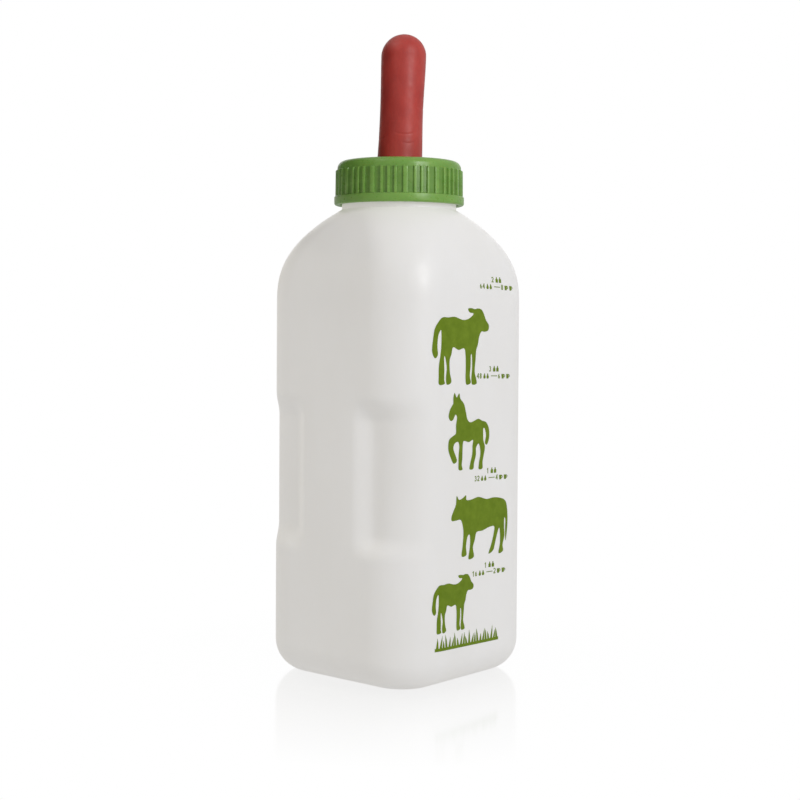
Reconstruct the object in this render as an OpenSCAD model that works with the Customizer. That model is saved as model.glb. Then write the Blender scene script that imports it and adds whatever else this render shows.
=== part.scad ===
// Two-quart calf feeding bottle: a square blow-moulded bottle, a screw cap, a pull-through
// rubber nipple with a ball vent, and the printed measuring panel.
// Origin: centre of the base on the ground. +Z up, the printed panel faces -Y
// and the hand grip faces -X.

/* [Bottle] */
// Side of the square body
body_side = 105; // [95:1:115]
// Radius of the body's upright corners
corner_r = 27; // [24:0.5:28]
// Radius of the rounded edge round the base
base_edge_r = 16; // [10:0.1:18]
// Height at which the shoulder starts to close in
shoulder_z = 191; // [186:1:196]
// Height at which the shoulder meets the neck
neck_z = 238.7; // [236:0.1:240]
// How full the shoulder is: 2 is a parabola, larger is fuller
shoulder_power = 2.5; // [2:0.1:3]
// Wall thickness of the body
wall = 1.5; // [1.2:0.1:2]
// Height of the hollow under the base
push_up = 1.5; // [1:0.25:3]

/* [Hand grip] */
// Depth of the two finger channels beside the grip's middle panel
grip_depth = 5.3; // [3:0.1:6]
// Height of the middle of the grip
grip_z = 104.5; // [102:0.5:107]
// Length of the grip's level part
grip_length = 56; // [50:0.5:60]
// Length of the slope at each end of the grip
grip_ramp = 12; // [8:0.5:16]
// Half width of the flat panel between the channels
panel_half = 9; // [6:0.5:11]
// Radius of the body's corners beside the channels
grip_corner_r = 21.5; // [18:0.5:24]

/* [Neck and thread] */
// Outer radius of the neck
neck_r = 29.7; // [29:0.1:30]
// Inner radius of the neck
mouth_r = 27.7; // [27:0.1:28]
// Height of the neck's rim
rim_z = 257.9; // [257:0.1:259]
// Rise of the thread in one turn
thread_pitch = 4.2; // [4:0.1:4.4]
// Turns of thread on the neck and in the cap
thread_turns = 1.3; // [1:0.1:1.5]
// Height of a thread ridge above its wall
thread_height = 0.8; // [0.6:0.1:0.9]

/* [Cap] */
// Outer radius of the band round the bottom of the cap
band_r = 33.7; // [33.4:0.1:34]
// Outer radius over the grip ribs
rib_r = 33.15; // [32.8:0.05:33.3]
// Radius of the wall between the ribs
skirt_r = 32.1; // [32:0.1:32.3]
// Inner radius of the skirt
skirt_inner_r = 30.8; // [30.7:0.05:30.9]
// Height of the cap's lower edge
cap_bottom_z = 241.05; // [240.5:0.05:242]
// Height of the band round the bottom of the cap
band_height = 4.45; // [3:0.05:5]
// Thickness of the cap's top
cap_top = 2.9; // [2:0.1:3.2]
// Radius of the rounding between the cap's side and top
cap_round = 3.7; // [3:0.1:5]
// Groups of ribs round the cap, each one wide rib and three narrow ones
rib_groups = 12; // [10:1:14]
// Where the first wide rib stands, in degrees round from +X
rib_turn = 16.4; // [0:0.2:30]

/* [Nipple] */
// Height of the nipple's tip
tip_z = 329.8; // [320:0.1:335]
// Outer radius of the nipple where it leaves the cap
nipple_base_r = 11.85; // [11.5:0.05:11.9]
// Outer radius at the waist
nipple_waist_r = 11.25; // [11:0.05:11.6]
// Outer radius of the bulb below the tip
nipple_bulb_r = 11.7; // [11.5:0.05:12]
// Wall thickness of the nipple
nipple_wall = 2.4; // [2:0.1:3]
// Thickness of the rubber flange under the cap
flange_t = 3; // [2.5:0.1:3.5]

/* [Print] */
// Thickness of the ink above the bottle
ink = 0.1; // [0.05:0.05:0.2]
// Turn of the whole print on its panel, in degrees
print_turn = -1.5; // [-2:0.5:2]

/* [Hidden] */

half = body_side / 2;
arc_steps = 9;                       // facets round each upright corner
base_land = 5;                       // width of the flat ring that the bottle stands on
floor_t = 1.6;                       // thickness of the bottle's floor
cap_top_z = rim_z + flange_t + cap_top;
flange_z = rim_z + flange_t;         // top of the rubber flange, under the cap's top
flange_r = 28.8;
hole_r = nipple_base_r + 0.35;       // the cap's hole, free to turn round the nipple
thread_gap = 0.25;                   // clearance between the crest of a thread and the facing wall
vent_r = 19.5;                       // the vent's distance from the axis
vent_angle = 205;
ball_r = 2;
ball_z = rim_z - 0.4;                // centre of the ball, resting at the bottom of its cage
cage_r = 2.4;
fine = 96;

function clamp01(v) = min(1, max(0, v));
function smoothstep(a, b, v) = let (t = clamp01((v - a) / (b - a))) t * t * (3 - 2 * t);

// ---------- bottle ----------

// Share of the full section left at height z: 1 in the body and 0 at the neck
function fullness(z) = 1 - pow(clamp01((z - shoulder_z) / (neck_z - shoulder_z)), shoulder_power);

// How far the rounded base edge lies inside the body's side at height z
function base_inset(z) = z >= base_edge_r ? 0
    : base_edge_r - sqrt(max(0, base_edge_r * base_edge_r - pow(base_edge_r - z, 2)));

// 1 along the grip's level part, falling to 0 beyond the slopes at its ends
function grip_along(z) = smoothstep(grip_low, grip_low + grip_ramp, z)
    * (1 - smoothstep(grip_high - grip_ramp, grip_high, z));

// 0 on the grip's middle panel and 1 in the channels: a gentle bend, then a steep wall
function grip_across(y) = 0.12 * smoothstep(panel_half, panel_half + 12, abs(y))
    + 0.88 * smoothstep(panel_half + 6.5, panel_half + 18, abs(y));

// Points of an arc about a centre, from one angle to another
function arc(centre, r, from, to, steps) =
    [for (i = [0:steps]) let (a = from + (to - from) * i / steps) centre + r * [cos(a), sin(a)]];

// One closed section, anticlockwise from the front: a square of half width side with
// corners of radius r. Its -X side is pushed in by depth, but for the grip's middle panel.
function section(side, r, depth) = let (
        flat = side - r,
        r2 = r + (grip_corner_r - corner_r) * depth / grip_depth,
        flat2 = side - r2,
        squeeze = min(1, flat / (half - corner_r)))
    concat(
        arc([flat, -flat], r, -90, 0, arc_steps),
        arc([flat, flat], r, 0, 90, arc_steps),
        arc([depth + r2 - side, flat2], r2, 90, 180, arc_steps),
        [for (y = across) [depth * grip_across(y) - side, y * squeeze]],
        arc([depth + r2 - side, -flat2], r2, 180, 270, arc_steps));

function lifted(points, z) = [for (p = points) [p[0], p[1], z]];

function body_ring(z, inside) = let (
        s = fullness(z),
        side = neck_r + s * (half - neck_r),
        r = neck_r - 0.4 + s * (corner_r - neck_r + 0.4),
        inset = base_inset(z) + inside)
    lifted(section(side - inset, r - inset, grip_depth * grip_along(z)), z);

grip_low = grip_z - grip_length / 2 - grip_ramp;
grip_high = grip_z + grip_length / 2 + grip_ramp;
half_across = [8, 13, 16.5, 18.5, 20.5, 22, 23.5, 25];
across = concat(reverse(half_across), [0], -half_across);

function reverse(list) = [for (i = [len(list) - 1:-1:0]) list[i]];

base_zs = [for (i = [1:6]) base_edge_r * (1 - cos(90 * i / 6))];
ramp_zs = [for (i = [0:5]) grip_low + grip_ramp * i / 5];
body_zs = concat(
    base_zs,
    [for (i = [1:2]) base_edge_r + (grip_low - base_edge_r) * i / 3],
    ramp_zs,
    [grip_z],
    [for (z = reverse(ramp_zs)) 2 * grip_z - z],
    [(grip_high + shoulder_z) / 2],
    [for (i = [0:13]) shoulder_z + (neck_z - 0.8 - shoulder_z) * i / 13]);

// A closed skin through rings of equal length, with a flat face over the first and the last
module skin(rings) {
    count = len(rings[0]);
    last = len(rings) - 1;
    polyhedron(
        points = [for (r = rings) for (p = r) p],
        faces = concat(
            [[for (i = [0:count - 1]) i]],
            [for (k = [0:last - 1]) for (i = [0:count - 1]) let (
                    a = k * count + i, b = k * count + (i + 1) % count, c = a + count, d = b + count)
                for (t = [[a, c, b], [b, c, d]]) t],
            [[for (i = [count - 1:-1:0]) last * count + i]]));
}

foot = half - base_edge_r;
foot_r = corner_r - base_edge_r;

// The body's outside, from the hollow under its base up to the neck
module body_outside() {
    skin(concat(
        [lifted(section(foot - base_land - 2, foot_r - base_land - 2, 0), push_up),
         lifted(section(foot - base_land, foot_r - base_land, 0), 0),
         lifted(section(foot, foot_r, 0), 0)],
        [for (z = body_zs) body_ring(z, 0)]));
}

// The room inside the body. Its wall grows to the neck's as it closes in.
module body_inside() {
    inner_floor = push_up + floor_t;
    function inset(z) = wall + (neck_r - mouth_r - wall) * (1 - fullness(z));
    skin(concat(
        [lifted(section(foot, foot_r, 0), inner_floor)],
        [for (z = body_zs) if (z > inner_floor + 0.5) body_ring(z, inset(z))]));
}

// A thread ridge as a closed band wound round the Z axis. root_r is where it stands, inside
// its wall, crest_r its crest, z the height of its middle at the start, turns its length.
module thread(root_r, crest_r, z, turns) {
    steps = ceil(40 * turns);
    root = 1.7;
    crest = 0.8;
    sense = sign(crest_r - root_r);
    function slice(i) = let (
            a = 360 * turns * i / steps,
            h = z + thread_pitch * turns * i / steps,
            run_out = smoothstep(0, 4, min(i, steps - i)),
            top = root_r + (crest_r - root_r) * (0.2 + 0.8 * run_out))
        [for (p = [[root_r, -root / 2], [top, -crest / 2], [top, crest / 2], [root_r, root / 2]])
            [p[0] * cos(a), p[0] * sin(a), h + sense * p[1]]];
    polyhedron(
        points = [for (i = [0:steps]) for (p = slice(i)) p],
        faces = concat(
            [[3, 2, 1, 0]],
            [for (i = [0:steps - 1]) for (j = [0:3]) let (
                    a = i * 4 + j, b = i * 4 + (j + 1) % 4, c = a + 4, d = b + 4)
                for (t = [[a, b, c], [b, d, c]]) t],
            [[for (j = [0:3]) steps * 4 + j]]));
}

thread_z = 245.5;                    // where the cap's thread starts
thread_drop = 1.3;                   // how far the cap's thread lies below the neck's
bite = 0.5;                          // how far a thread's root lies in its wall

module bottle() {
    color("whitesmoke") {
        difference() {
            union() {
                body_outside();
                translate([0, 0, neck_z - 3]) cylinder(r = neck_r, h = rim_z - neck_z + 3, $fn = fine);
            }
            body_inside();
            translate([0, 0, neck_z - 4]) cylinder(r = mouth_r, h = rim_z - neck_z + 5, $fn = fine);
        }
        thread(neck_r - bite, neck_r + thread_height, thread_z + thread_drop, thread_turns);
    }
}

// ---------- cap ----------

module cap_shell() {
    band_z = cap_bottom_z + band_height;
    edge = 1;
    rotate_extrude($fn = fine) polygon(concat(
        [[skirt_inner_r, cap_bottom_z + 0.5], [skirt_inner_r + 0.5, cap_bottom_z]],
        arc([band_r - edge, cap_bottom_z + edge], edge, -90, 0, 5),
        arc([band_r - 0.4, band_z - 0.4], 0.4, 0, 90, 3),
        [[skirt_r, band_z]],
        arc([skirt_r - cap_round, cap_top_z - cap_round], cap_round, 0, 90, 9),
        arc([hole_r + 0.6, cap_top_z - 0.6], 0.6, 90, 180, 3),
        [[hole_r, flange_z], [flange_r + 0.4, flange_z], [skirt_inner_r, flange_z - 2.5]]));
}

// Upright ribs: each group has a wide one and three narrow ones
module cap_ribs() {
    low = cap_bottom_z + band_height - 0.5;
    high = cap_top_z - 4.8;
    root_r = skirt_inner_r + 0.7;
    module rib(angle, width) rotate(angle)
        translate([root_r, -width / 2, low]) cube([rib_r - root_r, width, high - low]);
    for (g = [0:rib_groups - 1]) {
        first = rib_turn + 360 / rib_groups * g;
        rib(first, 2.4);
        for (k = [-1:1]) rib(first + 180 / rib_groups + 6.2 * k, 1.4);
    }
}

// Air reaches the vent under the cap's top: a round channel with four slots to the hole
module cap_air_channel() {
    depth = 0.8;
    translate([0, 0, flange_z - 1]) difference() {
        cylinder(r = vent_r + 3, h = depth + 1, $fn = fine);
        translate([0, 0, -1]) cylinder(r = vent_r - 3, h = depth + 3, $fn = fine);
    }
    for (a = [45:90:315]) rotate(a)
        translate([hole_r - 1, -1.5, flange_z - 1]) cube([vent_r - 1 - hole_r, 3, depth + 1]);
}

module screw_cap() {
    color("forestgreen") {
        difference() {
            union() {
                cap_shell();
                cap_ribs();
            }
            cap_air_channel();
        }
        thread(skirt_inner_r + bite, skirt_inner_r - thread_height, thread_z, thread_turns);
    }
}

// ---------- nipple ----------

// The nipple's outside as points from the flange up to the tip
function nipple_side(grow) = let (
        bulb_z = tip_z - nipple_bulb_r,
        waist_z = 0.5 * (flange_z + bulb_z))
    concat(
        [for (i = [0:6]) let (t = i / 6)
            [nipple_waist_r + (nipple_base_r - nipple_waist_r) * pow(1 - t, 2) + grow,
             flange_z + (waist_z - flange_z) * t]],
        [for (i = [1:6]) let (t = i / 6)
            [nipple_waist_r + (nipple_bulb_r - nipple_waist_r) * smoothstep(0, 1, t) + grow,
             waist_z + (bulb_z - waist_z) * t]],
        arc([0, bulb_z], nipple_bulb_r + grow, 10, 90, 8));

module milk_slit() {
    for (a = [0, 90]) rotate(a)
        translate([-3, -0.25, tip_z - 6]) cube([6, 0.5, 8]);
}

module nipple() {
    lip_r = mouth_r - 0.4;
    bore_r = nipple_waist_r - nipple_wall;
    inside = [for (p = nipple_side(-nipple_wall)) if (p[1] > flange_z) p];
    color("firebrick") difference() {
        rotate_extrude($fn = fine) polygon(concat(
            [[bore_r + 3, rim_z], [lip_r - 2, rim_z], [lip_r - 2, rim_z - 1.5], [lip_r, rim_z - 1.5],
             [lip_r, rim_z], [flange_r, rim_z], [flange_r, flange_z]],
            nipple_side(0),
            reverse(inside)));
        milk_slit();
        rotate(vent_angle) translate([vent_r, 0, rim_z - 3]) cylinder(r = 3.2, h = flange_t + 4, $fn = 48);
    }
}

// ---------- vent in the flange ----------

module at_vent() { rotate(vent_angle) translate([vent_r, 0, 0]) children(); }

// A turned bush pressed into the flange. The ball is caught between the lip at its bottom
// and the cone at its top, which it closes when the bottle is turned over.
module vent_seat() {
    low = ball_z - 2;
    lip = ball_z - 1.36;
    color("gainsboro") at_vent() rotate_extrude($fn = 48) polygon([
        [1.5, low], [3.8, low], [4.2, low + 0.4], [4.2, rim_z], [3.2, rim_z], [3.2, flange_z - 0.1],
        [1.3, flange_z - 0.1], [1.3, flange_z - 0.6], [cage_r, flange_z - 1.7], [cage_r, lip + 0.3],
        [1.5, lip]]);
}

module vent_ball() {
    color("silver") at_vent() translate([0, 0, ball_z]) sphere(r = ball_r, $fn = 64);
}

// ---------- print ----------

print_mid_z = 110;

// Draws 2-D art, in X across the panel and Y up, as a film of ink on the bottle's front.
// The film follows the body between two heights, round its corners too.
module inked(low, high) {
    heights = concat([low], [for (z = body_zs) if (z > low && z < high) z], [high]);
    ends = concat([low - 1], heights, [high + 1]);
    color("olivedrab") intersection() {
        translate([0, 0, print_mid_z]) rotate([90, 0, 0]) rotate(print_turn)
            translate([0, -print_mid_z, 30]) linear_extrude(height = 30) children();
        difference() {
            skin([for (z = heights) body_ring(z, -ink)]);
            skin([for (z = ends) body_ring(z, 0)]);
        }
    }
}

// A closed smooth outline through points (a Catmull-Rom spline)
function smooth(points, steps = 5) = let (n = len(points)) [
    for (i = [0:n - 1]) let (
            a = points[(i + n - 1) % n], b = points[i], c = points[(i + 1) % n], d = points[(i + 2) % n])
        for (j = [0:steps - 1]) let (t = j / steps)
            0.5 * (2 * b + (c - a) * t + (2 * a - 5 * b + 4 * c - d) * t * t
                + (3 * b - a - 3 * c + d) * t * t * t)];

// An open stroke of even width along a path
module stroke(path, width) {
    last = len(path) - 1;
    function along(i) = path[min(i + 1, last)] - path[max(i - 1, 0)];
    function side(i) = let (v = along(i)) [-v[1], v[0]] / norm(v) * width / 2;
    polygon(concat(
        [for (i = [0:last]) path[i] - side(i)],
        [for (i = [last:-1:0]) path[i] + side(i)]));
}

module circle_stroke(centre, r, width) translate(centre) difference() {
    circle(r = r + width / 2, $fn = 32);
    circle(r = r - width / 2, $fn = 32);
}

// Numerals 0.6 wide and 1 high, drawn with a stroke
module numeral(n) {
    w = 0.18;
    if (n == 1) {
        stroke([[0.34, 0], [0.34, 1]], w);
        stroke([[0.34, 0.94], [0.08, 0.74]], w);
    }
    if (n == 2) {
        stroke(concat(arc([0.3, 0.7], 0.24, 165, -35, 10), [[0.05, 0.06]]), w);
        stroke([[0, 0.09], [0.6, 0.09]], w);
    }
    if (n == 3) {
        stroke(arc([0.28, 0.72], 0.19, 150, -90, 10), w);
        stroke(arc([0.28, 0.3], 0.23, 90, -150, 10), w);
    }
    if (n == 4) {
        stroke([[0.44, 0], [0.44, 1]], w);
        stroke([[0.44, 0.95], [0.05, 0.32]], w);
        stroke([[0, 0.32], [0.6, 0.32]], w);
    }
    if (n == 6) {
        circle_stroke([0.3, 0.29], 0.2, w);
        stroke(arc([0.6, 0.35], 0.5, 185, 115, 8), w);
    }
    if (n == 8) {
        circle_stroke([0.3, 0.28], 0.19, w);
        circle_stroke([0.3, 0.74], 0.17, w);
    }
}

// A row of numerals that starts at a place
module number(digits, place, size) {
    for (i = [0:len(digits) - 1])
        translate([place[0] + 0.82 * size * i, place[1]]) scale(size) numeral(digits[i]);
}

// Small signs for the three measures, each 1 high: a drop, a cup and a bottle
module drop_sign() {
    polygon(smooth([
        [0.35, 1], [0.12, 0.55], [0, 0.28], [0.14, 0.03],
        [0.35, 0], [0.56, 0.03], [0.7, 0.28], [0.58, 0.55]], 3));
}

module cup_sign() {
    polygon([[0, 0.85], [0.12, 0], [0.68, 0], [0.8, 0.85]]);
    circle_stroke([0.83, 0.5], 0.2, 0.16);
}

module bottle_sign() {
    square([0.7, 0.62]);
    polygon([[0, 0.6], [0.22, 0.78], [0.22, 1.04], [0.48, 1.04], [0.48, 0.78], [0.7, 0.6]]);
}

// One mark of the scale about its dash: the amount in three measures
module scale_mark(top, left, right) {
    size = 2.7;
    half_size = size / 2;
    translate([-2.5, -0.2]) square([5, 0.4]);
    number(top, [-4.2, 2.2], size);
    for (x = [-0.9, 1.8])
        translate([x, 2.2]) scale(size) bottle_sign();
    number(left, [-14, -half_size], size);
    for (x = [-8.8, -6.2])
        translate([x, -half_size]) scale(size) drop_sign();
    number(right, [3.4, -half_size], size);
    for (x = [6.2, 10.2])
        translate([x, -half_size]) scale(size) cup_sign();
}

mark_x = 12.4;

module print_scale() {
    inked(40, 170) {
        translate([mark_x, 55.1]) scale_mark([1], [1, 6], [2]);
        translate([mark_x, 102.8]) scale_mark([1], [3, 2], [4]);
        translate([mark_x, 154.2]) scale_mark([3], [4, 8], [6]);
    }
    inked(190, 210) translate([mark_x + 1.1, 199.2]) scale_mark([2], [6, 4], [8]);
}

// Plain farm animals, drawn in a box 100 wide with their feet at 0

calf_outline = [
    [9, 73], [15, 77], [24, 77], [36, 78], [50, 75], [60, 76], [68, 80], [70, 83], [63, 84], [60, 88],
    [66, 89], [73, 88], [78, 89], [85, 88], [90, 83], [94, 76], [100, 70], [99, 64], [92, 62], [86, 62],
    [82, 56], [80, 47], [77, 40], [76, 28], [75, 15], [78, 7], [79, 1], [71, 0], [69, 7], [70, 20],
    [69, 34], [67, 34], [67, 21], [66, 10], [68, 2], [60, 0], [58, 8], [58, 21], [57, 35], [54, 42],
    [44, 40], [34, 43], [31, 35], [28, 27], [29, 14], [32, 3], [24, 0], [22, 8], [23, 19], [20, 31],
    [18, 31], [19, 16], [19, 6], [20, 1], [11, 0], [10, 9], [10, 22], [12, 34], [13, 48], [12, 62],
    [8, 56], [7, 44], [8, 34], [4, 30], [0, 38], [1, 52], [3, 64]];

foal_outline = [
    [10, 101], [10, 109], [13, 117], [18, 110], [24, 116], [27, 108], [36, 100], [41, 88], [45, 77],
    [52, 72], [62, 74], [72, 77], [81, 74], [92, 71], [99, 61], [100, 47], [95, 37], [90, 40], [92, 51],
    [89, 61], [85, 62], [85, 52], [86, 43], [90, 34], [88, 23], [85, 11], [85, 1], [76, 0], [76, 9],
    [79, 22], [78, 32], [74, 39], [68, 33], [68, 22], [64, 10], [62, 1], [53, 1], [55, 11], [59, 24],
    [59, 36], [60, 45], [50, 42], [40, 44], [36, 42], [35, 30], [35, 18], [34, 8], [36, 1], [27, 1],
    [26, 11], [26, 24], [27, 36], [24, 43], [16, 41], [13, 33], [19, 22], [22, 14], [14, 11], [7, 20],
    [1, 32], [2, 46], [11, 52], [18, 56], [18, 68], [20, 80], [16, 84], [11, 77], [5, 75], [0, 81],
    [2, 90], [6, 96]];

cow_outline = [
    [3, 53], [7, 60], [8, 69], [12, 65], [18, 66], [24, 69], [25, 64], [34, 64], [46, 66], [60, 63],
    [74, 64], [88, 62], [95, 58], [98, 49], [99, 36], [98, 23], [96, 15], [95, 27], [95, 38], [93, 40],
    [93, 30], [94, 21], [91, 11], [92, 4], [84, 2], [86, 12], [86, 22], [84, 30], [80, 22], [77, 13],
    [74, 6], [66, 3], [70, 12], [74, 23], [75, 32], [66, 32], [54, 29], [44, 28], [41, 20], [38, 12],
    [40, 2], [31, 0], [32, 9], [33, 17], [32, 26], [28, 24], [26, 14], [27, 5], [19, 4], [20, 14],
    [21, 26], [20, 35], [16, 43], [8, 43], [1, 43], [0, 47]];

module animal(outline, width, place) {
    translate(place) scale(width / 100) polygon(smooth(outline));
}

module print_calf() { inked(147, 194) animal(calf_outline, 42.6, [-35.5, 149.9]); }
module print_foal() { inked(104, 150) animal(foal_outline, 32.8, [-23.3, 107.5]); }
module print_cow() { inked(59, 99) animal(cow_outline, 46.4, [-19.3, 62.9]); }
module print_small_calf() { inked(26, 60) animal(calf_outline, 30.8, [-31.3, 28.3]); }

// A strip of grass under the animals
module print_grass() {
    blades = 22;
    left = -29;
    width = 50;
    base = 19.6;
    inked(17, 32) {
        translate([left, base]) square([width, 1.5]);
        for (i = [0:blades - 1]) {
            x = left + 1.5 + (width - 3) * i / (blades - 1);
            tall = 5.6 + 1.5 * sin(i * 137);
            lean = 1.2 * sin(i * 97);
            translate([x, base + 1])
                polygon([[-0.9, 0], [0.9, 0], [0.6 + lean * 0.5, tall * 0.6], [lean, tall]]);
        }
    }
}

bottle();
screw_cap();
nipple();
vent_seat();
vent_ball();
print_scale();
print_calf();
print_foal();
print_cow();
print_small_calf();
print_grass();
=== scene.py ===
"""Looks for the calf feeding bottle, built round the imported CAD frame."""

import math

import bmesh
import bpy
import numpy as np
from mathutils import Matrix, Vector


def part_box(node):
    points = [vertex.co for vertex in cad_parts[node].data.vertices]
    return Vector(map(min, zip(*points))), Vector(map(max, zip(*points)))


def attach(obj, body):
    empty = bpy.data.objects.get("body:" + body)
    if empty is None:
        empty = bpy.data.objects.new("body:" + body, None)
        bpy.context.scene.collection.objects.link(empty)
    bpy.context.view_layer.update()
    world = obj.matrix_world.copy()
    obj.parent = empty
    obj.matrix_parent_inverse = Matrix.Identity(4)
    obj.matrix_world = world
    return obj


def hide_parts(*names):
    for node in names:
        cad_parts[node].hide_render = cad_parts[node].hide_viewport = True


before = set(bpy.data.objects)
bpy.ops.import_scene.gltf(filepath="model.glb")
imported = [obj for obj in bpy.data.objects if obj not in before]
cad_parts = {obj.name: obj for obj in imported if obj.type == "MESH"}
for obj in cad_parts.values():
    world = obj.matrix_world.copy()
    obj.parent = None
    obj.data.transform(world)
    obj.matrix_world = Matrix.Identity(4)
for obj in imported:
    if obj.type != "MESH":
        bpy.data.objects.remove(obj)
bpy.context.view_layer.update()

MM = 0.001
TURN = 2 * math.pi

# ---------- sizes, in millimetres, from the frame ----------

_, bottle_high = (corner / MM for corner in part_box("bottle"))
cap_low, cap_high = (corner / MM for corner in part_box("screw_cap"))
_, nipple_high = (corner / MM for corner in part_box("nipple"))

HALF = bottle_high.x              # half the side of the square body
RIM_Z = bottle_high.z
CAP_BOTTOM_Z = cap_low.z
CAP_TOP_Z = cap_high.z
BAND_R = cap_high.x
TIP_Z = nipple_high.z
FLANGE_R = nipple_high.x

# ---------- the design's other sizes, as the CAD has them ----------

CORNER_R = 27.0
BASE_EDGE_R = 16.0
SHOULDER_Z = 191.0
NECK_Z = 238.7
SHOULDER_POWER = 2.5
WALL = 1.5
PUSH_UP = 1.5
FLOOR_T = 1.6
BASE_LAND = 5.0
PARTING_HEIGHT = 0.04
PARTING_WIDTH = 0.7

GRIP_DEPTH = 5.3
GRIP_LOW = 64.5
GRIP_HIGH = 144.5
GRIP_RAMP = 12.0
PANEL_HALF = 9.0
GENTLE_SHARE = 0.12               # share of the depth that comes gently from the panel's edge
GRIP_CORNER_R = 21.5

NECK_R = 29.7
MOUTH_R = 27.7
RIM_ROUND = 0.5
THREAD_PITCH = 4.2
THREAD_TURNS = 1.3
THREAD_HEIGHT = 0.8
THREAD_Z = 245.5
THREAD_DROP = 1.3
THREAD_ROOT = 1.5
THREAD_CREST = 0.8

RIB_R = 33.15
SKIRT_R = 32.1
SKIRT_INNER_R = 30.8
BAND_HEIGHT = 4.45
CAP_ROUND = 3.7
RIB_TOP_Z = CAP_TOP_Z - 4.8
RIB_GROUPS = 12
RIB_TURN = 16.4
WIDE_RIB = 2.4
NARROW_RIB = 1.4
RIB_STEP = 6.2                    # degrees between the narrow ribs of a group
CAP_TOP_T = 2.9
AIR_DEPTH = 0.8
AIR_HALF = 3.0                    # half the width of the ring channel over the vent
VENT_R = 19.5
VENT_ANGLE = 205
VENT_HOLE_R = 3.2

NIPPLE_BASE_R = 11.85
NIPPLE_WAIST_R = 11.25
NIPPLE_BULB_R = 11.7
NIPPLE_WALL = 2.4
FLANGE_T = 3.0
HOLE_R = NIPPLE_BASE_R + 0.35
FLANGE_Z = RIM_Z + FLANGE_T

# ---------- the camera's place, which also says where its right-hand side is ----------

# distances are in millimetres, and AHEAD and RIGHT are level directions of length 1

CAMERA_TURN = math.radians(49.16)     # how far round from the printed panel it stands
CAMERA_ROLL = math.radians(0.343)
CAMERA_PITCH = math.radians(1.539)    # how far it looks down
CAMERA_YAW = math.radians(0.026)
CAMERA_DISTANCE = 800.49
CAMERA_ASIDE = 1.32
CAMERA_Z = 184.48
CAMERA_LENS = 69.096
CAMERA_SHIFT = -0.055                 # of the frame's width: downwards, which keeps upright lines upright
CAMERA_SENSOR = 36
AHEAD = Vector((math.sin(CAMERA_TURN), math.cos(CAMERA_TURN), 0))
RIGHT = Vector((math.cos(CAMERA_TURN), -math.sin(CAMERA_TURN), 0))


def smoothstep(low, high, value):
    """0 below one limit and 1 above the other, with a smooth rise between."""
    t = np.clip((np.asarray(value, float) - low) / (high - low), 0, 1)
    return t * t * (3 - 2 * t)


def arc(centre, radius, start, end, steps):
    """Points of an arc about a centre, with its two angles in degrees."""
    angles = np.radians(np.linspace(start, end, steps + 1))
    return np.stack([centre[0] + radius * np.cos(angles), centre[1] + radius * np.sin(angles)], 1)


# ---------- mesh helpers ----------


def mesh_object(name, vertices, faces, sharp=35):
    """A smooth-shaded object from vertices in millimetres, with edges sharper than an angle kept crisp."""
    mesh = bpy.data.meshes.new(name)
    mesh.from_pydata([tuple(v) for v in np.asarray(vertices) * MM], [], faces)
    mesh.validate()
    clean = bmesh.new()
    clean.from_mesh(mesh)
    bmesh.ops.recalc_face_normals(clean, faces=clean.faces)
    clean.to_mesh(mesh)
    clean.free()
    mesh.shade_smooth()
    mesh.set_sharp_from_angle(angle=math.radians(sharp))
    made = bpy.data.objects.new(name, mesh)
    bpy.context.collection.objects.link(made)
    return made


def loft(name, rings, closed=False, sharp=35):
    """A skin through rings of equal length. It is closed at both ends by a fan, or joined end to start."""
    count = len(rings[0])
    vertices = np.concatenate(rings)
    pairs = [(k, k + 1) for k in range(len(rings) - 1)]
    if closed:
        pairs.append((len(rings) - 1, 0))
    faces = [
        (a * count + i, a * count + (i + 1) % count, b * count + (i + 1) % count, b * count + i)
        for a, b in pairs
        for i in range(count)
    ]
    if not closed:
        ends = [rings[0].mean(0), rings[-1].mean(0)]
        first, last = len(vertices), len(vertices) + 1
        vertices = np.concatenate([vertices, ends])
        base = (len(rings) - 1) * count
        faces += [(first, (i + 1) % count, i) for i in range(count)]
        faces += [(last, base + i, base + (i + 1) % count) for i in range(count)]
    return mesh_object(name, vertices, faces, sharp)


def polar_ring(angles, radii, z):
    """Points round the axis at one height."""
    return np.stack([radii * np.cos(angles), radii * np.sin(angles), np.broadcast_to(z, angles.shape)], 1)


def cut(target, cutters):
    """Cuts closed objects out of a target for good."""
    for cutter in cutters:
        step = target.modifiers.new("cut", "BOOLEAN")
        step.operation = "DIFFERENCE"
        step.solver = "EXACT"
        step.object = cutter
        bpy.context.view_layer.objects.active = target
        bpy.ops.object.modifier_apply(modifier=step.name)
        bpy.data.objects.remove(cutter)
    target.data.shade_smooth()
    target.data.set_sharp_from_angle(angle=math.radians(35))


def box_cutter(low, high, turn=0.0):
    corners = [(x, y, z) for x in (low[0], high[0]) for y in (low[1], high[1]) for z in (low[2], high[2])]
    faces = [(0, 1, 3, 2), (4, 6, 7, 5), (0, 4, 5, 1), (2, 3, 7, 6), (0, 2, 6, 4), (1, 5, 7, 3)]
    made = mesh_object("cutter", np.array(corners), faces)
    made.data.transform(Matrix.Rotation(turn, 4, "Z"))
    return made


def thread_bump(angles, z, start_z):
    """0 to 1: how far a thread ridge stands out at these angles and one height."""
    bump = np.zeros_like(angles)
    around = np.mod(angles, TURN) / TURN
    for lap in range(math.ceil(THREAD_TURNS)):
        turns = around + lap
        away = np.abs(z - start_z - THREAD_PITCH * turns)
        flank = np.clip((THREAD_ROOT / 2 - away) / ((THREAD_ROOT - THREAD_CREST) / 2), 0, 1)
        run_out = smoothstep(0, 0.1, turns) * smoothstep(0, 0.1, THREAD_TURNS - turns)
        bump = np.maximum(bump, flank * run_out)
    return bump


# ---------- bottle ----------

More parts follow.
